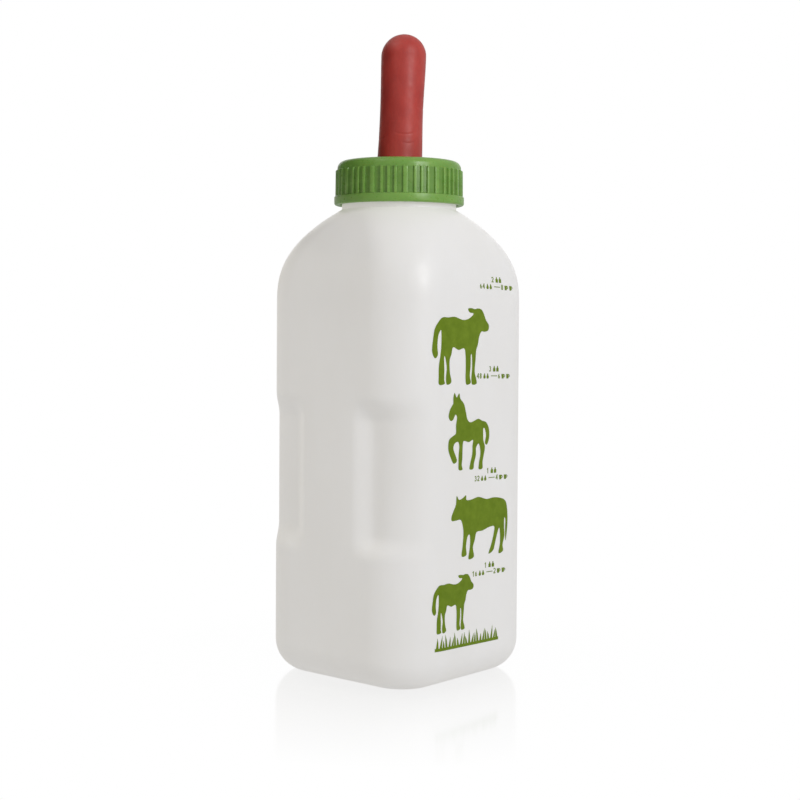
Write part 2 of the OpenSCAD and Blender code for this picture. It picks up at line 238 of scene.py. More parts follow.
BOTTLE_COLUMNS = 256
BOTTLE_ANGLES = np.arange(BOTTLE_COLUMNS) * TURN / BOTTLE_COLUMNS


def fullness(z):
    """Share of the full section at height z: 1 in the body and 0 at the neck."""
    return 1 - np.clip((z - SHOULDER_Z) / (NECK_Z - SHOULDER_Z), 0, 1) ** SHOULDER_POWER


def base_inset(z):
    """How far the rounded edge round the base lies inside the body's side."""
    if z >= BASE_EDGE_R:
        return 0.0
    return BASE_EDGE_R - math.sqrt(BASE_EDGE_R**2 - (BASE_EDGE_R - z) ** 2)


def grip_along(z):
    """Share of the grip's full depth at height z."""
    begun = smoothstep(GRIP_LOW, GRIP_LOW + GRIP_RAMP, z)
    ended = smoothstep(GRIP_HIGH - GRIP_RAMP, GRIP_HIGH, z)
    return float(begun * (1 - ended))


def grip_across(y):
    """Share of the grip's depth across its side: 0 on the panel in the middle and 1 in the hollows."""
    away = np.abs(y)
    gentle = smoothstep(PANEL_HALF, PANEL_HALF + 12, away)
    steep = smoothstep(PANEL_HALF + 6.5, PANEL_HALF + 18, away)
    return GENTLE_SHARE * gentle + (1 - GENTLE_SHARE) * steep


def section_radii(side, r, depth, angles):
    """Distance from the axis to the section's outline along each angle."""
    flat = max(side - r, 0)
    r2 = r + (GRIP_CORNER_R - CORNER_R) * depth / GRIP_DEPTH
    flat2 = max(side - r2, 0)
    y = np.linspace(flat2, -flat2, 121)
    grip_side = np.stack([depth * grip_across(y) - side, y], 1)
    outline = np.concatenate([
        arc((flat, -flat), r, -90, 0, 48),
        arc((flat, flat), r, 0, 90, 48),
        arc((depth + r2 - side, flat2), r2, 90, 180, 48),
        grip_side,
        arc((depth + r2 - side, -flat2), r2, 180, 270, 48),
    ])
    around = np.arctan2(outline[:, 1], outline[:, 0])
    # between the outline's points the true line is straight, so 1 / radius varies as a sinusoid
    order = np.argsort(np.mod(around, TURN), kind="stable")
    a = np.mod(around, TURN)[order]
    p = outline[order]
    a = np.concatenate([a[-1:] - TURN, a, a[:1] + TURN])
    p = np.concatenate([p[-1:], p, p[:1]])
    wanted = np.mod(angles, TURN)
    k = np.clip(np.searchsorted(a, wanted, side="right") - 1, 0, len(a) - 2)
    start, end = p[k], p[k + 1]
    ray = np.stack([np.cos(wanted), np.sin(wanted)], 1)
    step = end - start
    cross = ray[:, 0] * step[:, 1] - ray[:, 1] * step[:, 0]
    top = start[:, 0] * step[:, 1] - start[:, 1] * step[:, 0]
    flat_step = np.abs(cross) < 1e-9
    return np.where(flat_step, np.hypot(start[:, 0], start[:, 1]), top / np.where(flat_step, 1, cross))


def body_radii(z, inside=0.0, angles=BOTTLE_ANGLES):
    """Distance from the axis to the body's side at height z, or to a surface inside it."""
    s = float(fullness(z))
    inset = base_inset(z) + inside
    side = NECK_R + s * (HALF - NECK_R) - inset
    r = NECK_R + s * (CORNER_R - NECK_R) - inset
    return section_radii(side, r, GRIP_DEPTH * grip_along(z), angles)


def parting_ridge(angles, z):
    """The faint line where the two mould halves met, down two opposite corners."""
    away = TURN / 4 - np.abs(np.mod(angles + TURN / 8, TURN / 2) - TURN / 4)
    return PARTING_HEIGHT * np.exp(-((away * HALF / PARTING_WIDTH) ** 2)) * float(smoothstep(2, 8, z))


def body_ring(z):
    return polar_ring(BOTTLE_ANGLES, body_radii(z) + parting_ridge(BOTTLE_ANGLES, z), z)


def foot_rings(z, rise):
    """Rings of the base from its pushed-up middle out to just inside its rounded edge."""
    foot = HALF - BASE_EDGE_R
    foot_r = CORNER_R - BASE_EDGE_R
    rings = []
    hollow = section_radii(foot - BASE_LAND - 2, foot_r - BASE_LAND - 2, 0, BOTTLE_ANGLES)
    for share in np.linspace(0.08, 1, 10):
        rings.append(polar_ring(BOTTLE_ANGLES, hollow * share, z + rise * (1 - 0.15 * share**2)))
    for share in (0.25, 0.5, 0.75, 1):
        inward = BASE_LAND + 2 * (1 - share)
        edge = section_radii(foot - inward, foot_r - inward, 0, BOTTLE_ANGLES)
        height = z + rise * 0.85 * (1 - float(smoothstep(0, 1, share)))
        rings.append(polar_ring(BOTTLE_ANGLES, edge, height))
    rings.append(polar_ring(BOTTLE_ANGLES, section_radii(foot - 2, foot_r - 2, 0, BOTTLE_ANGLES), z))
    return rings


def neck_ring(z):
    """A ring of the neck with the thread on it."""
    bump = thread_bump(BOTTLE_ANGLES, z, THREAD_Z + THREAD_DROP)
    return polar_ring(BOTTLE_ANGLES, NECK_R + THREAD_HEIGHT * bump, z)


def round_ring(r, z):
    """A round ring of the neck's rim or mouth."""
    return polar_ring(BOTTLE_ANGLES, np.full(BOTTLE_COLUMNS, r), z)


def make_bottle():
    """The skin, from the middle of the base up the outside, over the rim and down the inside."""
    edge_zs = BASE_EDGE_R * (1 - np.cos(np.linspace(0, TURN / 4, 13)))
    wall_zs = np.concatenate([
        np.arange(BASE_EDGE_R + 2.5, GRIP_LOW - 3, 3),
        np.arange(GRIP_LOW - 2, GRIP_HIGH + 3, 1.5),
        np.arange(GRIP_HIGH + 5, SHOULDER_Z, 3),
    ])
    shoulder_zs = np.linspace(SHOULDER_Z, NECK_Z, 40)
    rings = foot_rings(0, PUSH_UP)
    rings += [body_ring(z) for z in np.concatenate([edge_zs, wall_zs, shoulder_zs])]
    rings += [neck_ring(z) for z in np.arange(NECK_Z + 0.4, RIM_Z - RIM_ROUND, 0.2)]
    lip_z = RIM_Z - RIM_ROUND
    rings += [round_ring(r, z) for r, z in arc((NECK_R - RIM_ROUND, lip_z), RIM_ROUND, 0, 90, 4)]
    rings += [round_ring(r, z) for r, z in arc((MOUTH_R + RIM_ROUND, lip_z), RIM_ROUND, 90, 180, 4)]
    rings += [round_ring(MOUTH_R, z) for z in np.arange(RIM_Z - 3, NECK_Z, -3)]
    floor_z = PUSH_UP + FLOOR_T
    for z in np.concatenate([shoulder_zs[::-2], wall_zs[::-1], edge_zs[::-1]]):
        if z > floor_z + 0.4:
            inside = WALL + (NECK_R - MOUTH_R - WALL) * (1 - float(fullness(z)))
            rings.append(polar_ring(BOTTLE_ANGLES, body_radii(z, inside), z))
    rings += foot_rings(floor_z - PUSH_UP * 0.4, PUSH_UP * 0.4)[::-1]
    return loft("bottle_shell", rings)


# ---------- cap ----------


def rib_columns():
    """Angles round the cap, and at each how far out of the groove a rib stands: 0 to 1."""
    shape = [(-0.16, 0.0), (-0.06, 0.12), (0.0, 0.8), (0.06, 0.94), (0.2, 1.0)]   # mm in from a rib's edge
    angles, stands = [], []
    for group in range(RIB_GROUPS):
        first = RIB_TURN + 360 / RIB_GROUPS * group
        middle = first + 180 / RIB_GROUPS
        ribs = [(first, WIDE_RIB)] + [(middle + RIB_STEP * k, NARROW_RIB) for k in (-1, 0, 1)]
        for centre, width in ribs:
            for inward, stand in shape:
                angles.append(math.radians(centre) - (width / 2 - inward) / RIB_R)
                stands.append(stand)
            for inward, stand in reversed(shape):
                angles.append(math.radians(centre) + (width / 2 - inward) / RIB_R)
                stands.append(stand)
    return np.array(angles), np.array(stands)


def make_cap():
    """The cap's skin, from its lower edge up the ribbed side, over the top and down the thread inside."""
    angles, stands = rib_columns()
    band_z = CAP_BOTTOM_Z + BAND_HEIGHT
    shoulder = arc((SKIRT_R - CAP_ROUND, CAP_TOP_Z - CAP_ROUND), CAP_ROUND, 8, 90, 12)

    def ring(r, z):
        return polar_ring(angles, np.full(len(angles), r), z)

    outside = [(SKIRT_INNER_R + 0.6, CAP_BOTTOM_Z), (SKIRT_INNER_R + 1.2, CAP_BOTTOM_Z)]
    low_round, high_round = 1.1, 0.45
    outside += [tuple(p) for p in arc((BAND_R - low_round, CAP_BOTTOM_Z + low_round), low_round, -90, 0, 7)]
    outside += [tuple(p) for p in arc((BAND_R - high_round, band_z - high_round), high_round, 0, 90, 5)]
    rings = [ring(r, z) for r, z in outside]
    rings.append(ring(SKIRT_R + 0.15, band_z))
    rib_zs = np.linspace(band_z + 1.2, RIB_TOP_Z - 0.35, 6)
    for z in (band_z + 0.1, band_z + 0.3, *rib_zs, RIB_TOP_Z - 0.12):
        draft = 0.12 * (z - band_z) / (RIB_TOP_Z - band_z)
        top_round = 0.12 if z > RIB_TOP_Z - 0.2 else 0.0
        foot = 0.15 if z < band_z + 0.2 else 0.0
        reach = RIB_R - SKIRT_R - draft - top_round - foot
        rings.append(polar_ring(angles, SKIRT_R + foot + reach * stands, z))
    rings.append(polar_ring(angles, SKIRT_R + (RIB_R - SKIRT_R - 0.45) * stands, RIB_TOP_Z))
    rings += [ring(r, z) for r, z in [(SKIRT_R + 0.02, RIB_TOP_Z + 0.04), *shoulder]]
    rings += [ring(r, CAP_TOP_Z) for r in (23.5, 20, 17, 14.5)]
    hole_round = 0.6
    hole_edge = arc((HOLE_R + hole_round, CAP_TOP_Z - hole_round), hole_round, 90, 180, 5)
    rings += [ring(r, z) for r, z in hole_edge]
    under = CAP_TOP_Z - CAP_TOP_T
    air_z = under + AIR_DEPTH
    underside = [
        (HOLE_R, under),
        (VENT_R - AIR_HALF, under), (VENT_R - AIR_HALF, air_z),
        (VENT_R + AIR_HALF, air_z), (VENT_R + AIR_HALF, under),
        (FLANGE_R + 0.4, under), (SKIRT_INNER_R, under - 2.5),
    ]
    rings += [ring(r, z) for r, z in underside]
    for z in np.arange(under - 2.8, CAP_BOTTOM_Z + 0.7, -0.2):
        bump = thread_bump(angles, z, THREAD_Z)
        rings.append(polar_ring(angles, SKIRT_INNER_R - THREAD_HEIGHT * bump, z))
    rings.append(ring(SKIRT_INNER_R, CAP_BOTTOM_Z + 0.5))
    cap = loft("cap_ring", rings, closed=True, sharp=50)
    slot_low = (HOLE_R - 2, -1.5, under - 1)
    slot_high = (VENT_R - 2, 1.5, air_z)
    cut(cap, [box_cutter(slot_low, slot_high, math.radians(a)) for a in (45, 135, 225, 315)])
    return cap


# ---------- nipple ----------

NIPPLE_COLUMNS = 96
NIPPLE_ANGLES = np.arange(NIPPLE_COLUMNS) * TURN / NIPPLE_COLUMNS
LEAN = 2.25                       # how far the soft nipple's tip leans to the camera's right
RIGHT_ANGLE = math.atan2(RIGHT.y, RIGHT.x)

CREASE_WIDTH = 0.45

# small creases in the rubber: angle round from the camera's right in degrees, height, length, depth
CREASES = [
    (-78, 277.0, 5.0, 0.16),
    (-70, 272.5, 3.5, 0.1),
    (-20, 290.5, 6.0, 0.12),
    (-100, 284.0, 4.0, 0.06),
    (60, 281.0, 6.0, 0.12),
    (150, 287.0, 5.0, 0.1),
    (200, 275.0, 6.0, 0.12),
]


def nipple_shape(grow):
    """Radius and height from the flange up to the tip, on a surface moved outwards by a distance."""
    bulb_z = TIP_Z - NIPPLE_BULB_R
    waist_z = (FLANGE_Z + bulb_z) / 2
    lower = np.linspace(0, 1, 26)
    upper = np.linspace(0, 1, 26)[1:]
    taper = NIPPLE_WAIST_R + (NIPPLE_BASE_R - NIPPLE_WAIST_R) * (1 - lower) ** 2
    swell = NIPPLE_WAIST_R + (NIPPLE_BULB_R - NIPPLE_WAIST_R) * smoothstep(0, 1, upper)
    shape = np.concatenate([
        np.stack([taper, FLANGE_Z + (waist_z - FLANGE_Z) * lower], 1),
        np.stack([swell, waist_z + (bulb_z - waist_z) * upper], 1),
        arc((0, bulb_z), NIPPLE_BULB_R, 4, 86, 22),
    ])
    normal = np.where(shape[:, 1] > bulb_z, (shape[:, 1] - bulb_z) / NIPPLE_BULB_R, 0)
    return np.stack([shape[:, 0] + grow * np.sqrt(1 - normal**2), shape[:, 1] + grow * normal], 1)


def nipple_ring(r, z, worn=True):
    """A ring of the nipple, moved over where it leans, and out of round with creases if worn."""
    radii = np.full(NIPPLE_COLUMNS, float(r))
    if worn:
        # hand-dipped rubber is never quite round
        share = smoothstep(FLANGE_Z + 4, FLANGE_Z + 20, z) * smoothstep(TIP_Z, TIP_Z - 16, z)
        oval = 0.1 * np.cos(2 * NIPPLE_ANGLES + z / 17)
        radii += share * (oval + 0.06 * np.cos(3 * NIPPLE_ANGLES - z / 9))
        for turn, height, length, depth in CREASES:
            round_by = NIPPLE_ANGLES - RIGHT_ANGLE - math.radians(turn)
            away = np.angle(np.exp(1j * round_by)) * NIPPLE_WAIST_R
            bow = height + 0.04 * away**2
            radii -= depth * np.exp(-(((z - bow) / CREASE_WIDTH) ** 2) - (away / length) ** 4)
    made = polar_ring(NIPPLE_ANGLES, radii, z)
    lean = LEAN * max(0.0, (z - FLANGE_Z) / (TIP_Z - FLANGE_Z)) ** 0.85
    return made + np.array(RIGHT) * lean


def vent_ring(r, z):
    """A ring about the vent's axis."""
    columns = 48
    angles = np.arange(columns) * TURN / columns
    place = math.radians(VENT_ANGLE)
    centre = np.array([VENT_R * math.cos(place), VENT_R * math.sin(place), 0])
    return polar_ring(angles, np.full(columns, r), z) + centre


def make_nipple():
    """The skin, from the inside of the tip down to the flange, round it and up the outside."""
    lip_r = MOUTH_R - 0.4
    lip_z = RIM_Z - 1.5
    edge = 0.3
    outer = nipple_shape(0)
    inner = nipple_shape(-NIPPLE_WALL)
    foot = [
        (NIPPLE_WAIST_R - NIPPLE_WALL + 3, RIM_Z),
        (lip_r - 2, RIM_Z), (lip_r - 2, lip_z + edge), (lip_r - 2 + edge, lip_z),
        (lip_r - edge, lip_z), (lip_r, lip_z + edge), (lip_r, RIM_Z),
        (FLANGE_R - edge, RIM_Z), (FLANGE_R, RIM_Z + edge),
        (FLANGE_R, FLANGE_Z - edge), (FLANGE_R - edge, FLANGE_Z),
        (NIPPLE_BASE_R + 0.3, FLANGE_Z),
    ]
    rings = [nipple_ring(r, z, worn=False) for r, z in inner[::-1] if z > RIM_Z + 1]
    rings += [nipple_ring(r, z, worn=False) for r, z in foot]
    # the side in rings close enough together for the creases
    side = outer[:48]
    for z in np.arange(FLANGE_Z + 2.5, TIP_Z - NIPPLE_BULB_R, 0.3):
        rings.append(nipple_ring(float(np.interp(z, side[:, 1], side[:, 0])), z))
    rings += [nipple_ring(r, z) for r, z in outer if z > TIP_Z - NIPPLE_BULB_R]
    nipple = loft("rubber_nipple", rings, sharp=60)
    tip_x, tip_y = RIGHT.x * LEAN, RIGHT.y * LEAN
    slit = [
        box_cutter((tip_x - x, tip_y - y, TIP_Z - 6), (tip_x + x, tip_y + y, TIP_Z + 2))
        for x, y in ((3, 0.15), (0.15, 3))
    ]
    vent = loft("cutter", [vent_ring(VENT_HOLE_R, z) for z in (RIM_Z - 3, FLANGE_Z + 1)])
    cut(nipple, [*slit, vent])
    return nipple


# ---------- print ----------

INK_ABOVE = 0.06                  # how far the ink's face stands off the bottle
INK_BELOW = 0.1
MERGE = 1e-7                      # metres
CAD_ARC_STEPS = 9                 # the CAD bottle's corners are this many flat facets


def cad_radius(z, angle):
    """Distance from the axis to the CAD's faceted bottle on its front, where the print is."""
    s = float(fullness(z))
    side = NECK_R + s * (HALF - NECK_R) - base_inset(z)
    r = NECK_R + s * (CORNER_R - NECK_R) - base_inset(z)
    flat = side - r
    outline = np.concatenate([
        arc((-flat, -flat), r, 180, 270, CAD_ARC_STEPS),
        arc((flat, -flat), r, -90, 0, CAD_ARC_STEPS),
    ])
    around = np.mod(np.arctan2(outline[:, 1], outline[:, 0]), TURN)
    wanted = angle % TURN
    k = int(np.clip(np.searchsorted(around, wanted) - 1, 0, len(around) - 2))
    start, step = outline[k], outline[k + 1] - outline[k]
    ray = np.array([math.cos(wanted), math.sin(wanted)])
    return float((start[0] * step[1] - start[1] * step[0]) / (ray[0] * step[1] - ray[1] * step[0]))


def make_print(node):
    """The CAD's film of ink, cut finely and laid on the smooth bottle."""
    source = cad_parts[node]
    low, high = (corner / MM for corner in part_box(node))
    made = bmesh.new()
    made.from_mesh(source.data)
    bmesh.ops.remove_doubles(made, verts=made.verts, dist=MERGE)
    # the bottle is flat in between, so it is cut only round the corners and on the shoulder
    corner_xs = [x for x in np.arange(math.ceil(low.x), high.x, 1.0) if abs(x) > HALF - CORNER_R - 2]
    shoulder_zs = np.arange(max(low.z, SHOULDER_Z - 1), high.z, 1.0)
    cuts = [((x, 0, 0), (1, 0, 0)) for x in corner_xs]
    cuts += [((0, 0, z), (0, 0, 1)) for z in shoulder_zs]
    for place, normal in cuts:
        everything = made.verts[:] + made.edges[:] + made.faces[:]
        bmesh.ops.bisect_plane(
            made, geom=everything, plane_co=Vector(place) * MM, plane_no=normal, dist=MERGE)
    bmesh.ops.triangulate(made, faces=made.faces[:])
    places = np.array([v.co for v in made.verts]) / MM
    around = np.arctan2(places[:, 1], places[:, 0])
    distance = np.hypot(places[:, 0], places[:, 1])
    for vertex, place, angle, r in zip(made.verts, places, around, distance):
        one = np.array([angle])
        film = r - cad_radius(place[2], angle)
        surface = float(body_radii(place[2], 0.0, one)[0] + parting_ridge(one, place[2])[0])
        laid = surface + (INK_ABOVE if film > 0.05 else -INK_BELOW)
        vertex.co = Vector((math.cos(angle) * laid, math.sin(angle) * laid, place[2])) * MM
    mesh = bpy.data.meshes.new(node + "_film")
    made.to_mesh(mesh)
    made.free()
    film = bpy.data.objects.new(node + "_film", mesh)
    bpy.context.collection.objects.link(film)
    return film


# ---------- materials ----------


def map_range(tree, value, source, target):
    """Maps a value from one range onto another and clamps it there."""
    mapped = tree.nodes.new("ShaderNodeMapRange")
    for socket, number in zip(("From Min", "From Max", "To Min", "To Max"), (*source, *target)):
        mapped.inputs[socket].default_value = number
    tree.links.new(value, mapped.inputs["Value"])
    return mapped.outputs["Result"]


class Nodes:
    """Short calls for building one node material."""

    def __init__(self, name, **inputs):
        self.material = bpy.data.materials.new(name)
        self.material.use_nodes = True
        self.tree = self.material.node_tree
        self.shader = self.tree.nodes["Principled BSDF"]
        for socket, value in inputs.items():
            self.shader.inputs[socket.replace("_", " ")].default_value = value
        self.coords = self.add("ShaderNodeTexCoord").outputs["Object"]

    def add(self, kind, **settings):
        node = self.tree.nodes.new(kind)
        for key, value in settings.items():
            setattr(node, key, value)
        return node

    def link(self, source, target):
        self.tree.links.new(source, target)

    def noise(self, scale, detail=3.0, roughness=0.5, stretch=(1, 1, 1)):
        """Noise with a scale in features per metre."""
        mapping = self.add("ShaderNodeMapping")
        mapping.inputs["Scale"].default_value = stretch
        noise = self.add("ShaderNodeTexNoise")
        noise.inputs["Scale"].default_value = scale
        noise.inputs["Detail"].default_value = detail
        noise.inputs["Roughness"].default_value = roughness
        self.link(self.coords, mapping.inputs["Vector"])
        self.link(mapping.outputs["Vector"], noise.inputs["Vector"])
        return noise.outputs["Fac"]

    def ramp(self, factor, stops):
        """A ramp of (place, colour) stops."""
        ramp = self.add("ShaderNodeValToRGB")
        while len(ramp.color_ramp.elements) < len(stops):
            ramp.color_ramp.elements.new(0.5)
        for element, (place, colour) in zip(ramp.color_ramp.elements, stops):
            element.position = place
            element.color = (*colour, 1)
        self.link(factor, ramp.inputs["Fac"])
        return ramp.outputs["Color"]

    def spread(self, factor, low, high):
        """Maps noise's usual 0.3 to 0.7 onto a range."""
        return map_range(self.tree, factor, (0.3, 0.7), (low, high))

    def rise(self, low, high):
        """0 below one height in millimetres and 1 above another."""
        height = self.add("ShaderNodeSeparateXYZ")
        self.link(self.coords, height.inputs["Vector"])
        return map_range(self.tree, height.outputs["Z"], (low * MM, high * MM), (0, 1))

    def reach(self, low, high):
        """0 nearer to the axis than one distance in millimetres and 1 beyond another."""
        across = self.add("ShaderNodeVectorMath", operation="MULTIPLY")
        across.inputs[1].default_value = (1, 1, 0)
        self.link(self.coords, across.inputs[0])
        distance = self.add("ShaderNodeVectorMath", operation="LENGTH")
        self.link(across.outputs["Vector"], distance.inputs[0])
        return map_range(self.tree, distance.outputs["Value"], (low * MM, high * MM), (0, 1))

    def larger(self, first, second):
        node = self.add("ShaderNodeMath", operation="MAXIMUM")
        self.link(first, node.inputs[0])
        self.link(second, node.inputs[1])
        return node.outputs[0]

    def mix(self, factor, first, second, blend="MIX"):
        """Mixes two colours, each a socket or a plain colour."""
        mixed = self.add("ShaderNodeMix", data_type="RGBA", blend_type=blend)
        for socket, value in ((0, factor), (6, first), (7, second)):
            if isinstance(value, bpy.types.NodeSocket):
                self.link(value, mixed.inputs[socket])
            else:
                mixed.inputs[socket].default_value = value
        return mixed.outputs[2]

    def bump(self, height, depth, strength=1.0, normal=None):
        """Bumps as deep as a number of millimetres, on top of another bump if one is given."""
        bump = self.add("ShaderNodeBump")
        bump.inputs["Distance"].default_value = depth * MM
        bump.inputs["Strength"].default_value = strength
        self.link(height, bump.inputs["Height"])
        if normal is not None:
            self.link(normal, bump.inputs["Normal"])
        return bump.outputs["Normal"]

    def use(self, socket, value):
        self.link(value, self.shader.inputs[socket])


def bottle_plastic():
    """Milky polyethylene: soft sheen, faint clouding and a fine blow-moulded grain.

    The even, warm emission is a painted glow that stands for light that has come through the translucent
    walls.
    The neck's paler colour is painted light, where the cap above it shades it.
    """
    made = Nodes(
        "bottle_plastic",
        IOR=1.5,
        Subsurface_Weight=0.35,
        Subsurface_Scale=0.004,
        Subsurface_Radius=(1.0, 0.95, 0.85),
        # painted glow: an even, warm emission over the whole bottle, for light that comes through its walls
        Emission_Color=(1, 0.955, 0.875, 1),
        Emission_Strength=0.3,
    )
    clouds = made.noise(22, 4, 0.55, (1, 1, 0.5))
    colour = made.ramp(clouds, [(0.3, (0.522, 0.53, 0.55)), (0.7, (0.55, 0.56, 0.588))])
    # painted light: a paler base colour on the neck from 218 mm up, where the cap shades it
    painted_light_neck_colour = (0.58, 0.582, 0.608, 1)
    made.use("Base Color", made.mix(made.rise(218, 243), colour, painted_light_neck_colour))
    made.use("Roughness", made.spread(made.noise(160, 2), 0.34, 0.44))
    wave = made.bump(made.noise(35, 2, 0.4, (1, 1, 0.4)), 0.25, 0.5)
    made.use("Normal", made.bump(made.noise(1400, 2), 0.012, 0.6, wave))
    return made.material


def cap_plastic():
    """Moulded green polypropylene with a fine satin grain, faint flow marks and painted shade in the
    grooves between the ribs.
    """
    made = Nodes("cap_plastic", IOR=1.49, Subsurface_Weight=0.08, Subsurface_Scale=0.0015)
    flow = made.noise(90, 4, 0.6, (1, 1, 2.5))
    colour = made.ramp(flow, [(0.3, (0.163, 0.343, 0.055)), (0.7, (0.22, 0.425, 0.082))])
    # painted shade: the grooves between the ribs get a darker green than the parts that stand proud
    groove = made.mix(1.0, colour, (0.8, 0.81, 0.79, 1), "MULTIPLY")
    proud = made.larger(made.reach(SKIRT_R + 0.1, RIB_R - 0.15), made.rise(RIB_TOP_Z - 0.3, RIB_TOP_Z))
    made.use("Base Color", made.mix(proud, groove, colour))
    made.use("Roughness", made.spread(made.noise(500, 3), 0.25, 0.36))
    made.use("Normal", made.bump(made.noise(2600, 2), 0.015, 0.8))
    return made.material


def nipple_rubber():
    """Soft red rubber: mottled, matte, with a pale bloom and fine pores."""
    made = Nodes(
        "nipple_rubber",
        IOR=1.5,
        Sheen_Weight=0.08,
        Sheen_Roughness=0.45,
        Subsurface_Weight=0.12,
        Subsurface_Scale=0.002,
    )
    mottle = made.noise(130, 5, 0.6, (1, 1, 0.6))
    reds = [(0.32, (0.415, 0.029, 0.022)), (0.55, (0.495, 0.041, 0.03)), (0.72, (0.555, 0.055, 0.042))]
    colour = made.ramp(mottle, reds)
    bloom = made.spread(made.noise(45, 3, 0.5), 0.0, 0.12)
    made.use("Base Color", made.mix(bloom, colour, (0.5, 0.13, 0.11, 1)))
    made.use("Roughness", made.spread(made.noise(320, 3), 0.38, 0.54))
    soft = made.bump(made.noise(170, 3), 0.12, 0.5)
    made.use("Normal", made.bump(made.noise(1500, 3), 0.03, 0.8, soft))
    return made.material


def ink():
    """Screen-printed ink: nearly flat, with the mesh's fine pinholes and slight thin patches."""
    made = Nodes("print_ink", IOR=1.45, Specular_IOR_Level=0.25)
    patches = made.noise(260, 4, 0.6)
    colour = made.ramp(patches, [(0.3, (0.13, 0.21, 0.004)), (0.7, (0.175, 0.265, 0.012))])
    made.use("Base Color", colour)
    made.use("Roughness", made.spread(made.noise(900, 2), 0.36, 0.5))
    made.use("Normal", made.bump(made.noise(2200, 2), 0.01, 0.6))
    return made.material


def vent_plastic():
    """Turned white plastic."""
    made = Nodes("vent_plastic", IOR=1.49, Roughness=0.4)
    whites = [(0.3, (0.74, 0.74, 0.7)), (0.7, (0.82, 0.82, 0.79))]
    made.use("Base Color", made.ramp(made.noise(300), whites))
    made.use("Normal", made.bump(made.noise(2500, 2), 0.01, 0.6))
    return made.material


def vent_steel():
    """Polished stainless steel with faint wear."""
    made = Nodes("vent_steel", Metallic=1.0)
    greys = [(0.3, (0.52, 0.52, 0.53)), (0.7, (0.62, 0.62, 0.63))]
    made.use("Base Color", made.ramp(made.noise(400), greys))
    made.use("Roughness", made.spread(made.noise(900, 3), 0.12, 0.26))
    return made.material


# ---------- put the pieces on their bodies ----------


def dress(piece, body, slot, material, *nodes):
    """Gives a piece its material, sets it on its body and hides the CAD parts that it takes the place of.
    """
    piece.data.materials.clear()
    piece.data.materials.append(material)
    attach(piece, body)
    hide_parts(*nodes)


dress(make_bottle(), "bottle", "bottle_plastic", bottle_plastic(), "bottle")
dress(make_cap(), "screw_cap", "cap_plastic", cap_plastic(), "screw_cap")
dress(make_nipple(), "nipple", "nipple_rubber", nipple_rubber(), "nipple")
print_ink = ink()
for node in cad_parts:
    if node.startswith("print_"):
        dress(make_print(node), "bottle", "ink", print_ink, node)
for node, material in (("vent_seat", vent_plastic()), ("vent_ball", vent_steel())):
    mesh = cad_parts[node].data
    mesh.materials.clear()
    mesh.materials.append(material)


# ---------- floor, light and camera, in metres ----------

ROOM_LEFT = 0.55                  # brightness of the room on the camera's left and right
ROOM_RIGHT = 0.48
FLOOR_LIGHT = 0.47                # brightness of the floor as the bottle is lit by it
MIRROR_SHARE = 0.3                # how much the floor mirrors next to the bottle
MIRROR_NEAR = 0.05                # metres from the bottle's axis between which the mirroring fades out
MIRROR_FAR = 0.18
FLAG_HEIGHT = 0.15
FLAG_WIDTH = 0.2
FLAG_Z = 0.335
FLAG_LEFT = 0.1                   # how far the flag hangs from the bottle's axis


def make_floor():
    """A white floor that faintly mirrors what stands on it, less and less further off.

    It looks brighter than the light it sends up to the bottle.
    """
    reach = 6.0
    corners = [(-reach, -reach, 0), (reach, -reach, 0), (reach, reach, 0), (-reach, reach, 0)]
    mesh = bpy.data.meshes.new("floor")
    mesh.from_pydata(corners, [], [(0, 1, 2, 3)])
    floor = bpy.data.objects.new("floor", mesh)
    bpy.context.collection.objects.link(floor)
    material = bpy.data.materials.new("floor")
    material.use_nodes = True
    tree = material.node_tree
    tree.nodes.clear()
    coords = tree.nodes.new("ShaderNodeTexCoord")
    distance = tree.nodes.new("ShaderNodeVectorMath")
    distance.operation = "LENGTH"
    glow = tree.nodes.new("ShaderNodeEmission")
    glow.inputs["Color"].default_value = (1, 1, 1, 1)
    mirror = tree.nodes.new("ShaderNodeBsdfGlossy")
    mirror.inputs["Color"].default_value = (1, 1, 1, 1)
    mirror.inputs["Roughness"].default_value = 0.12
    mixed = tree.nodes.new("ShaderNodeMixShader")
    output = tree.nodes.new("ShaderNodeOutputMaterial")
    tree.links.new(coords.outputs["Object"], distance.inputs[0])
    share = map_range(tree, distance.outputs["Value"], (MIRROR_NEAR, MIRROR_FAR), (MIRROR_SHARE, 0))
    tree.links.new(share, mixed.inputs["Fac"])
    path = tree.nodes.new("ShaderNodeLightPath")
    looked_at = path.outputs["Is Camera Ray"]
    tree.links.new(map_range(tree, looked_at, (0, 1), (FLOOR_LIGHT, 1)), glow.inputs["Strength"])
    tree.links.new(glow.outputs[0], mixed.inputs[1])
    tree.links.new(mirror.outputs[0], mixed.inputs[2])
    tree.links.new(mixed.outputs[0], output.inputs[0])
    mesh.materials.append(material)


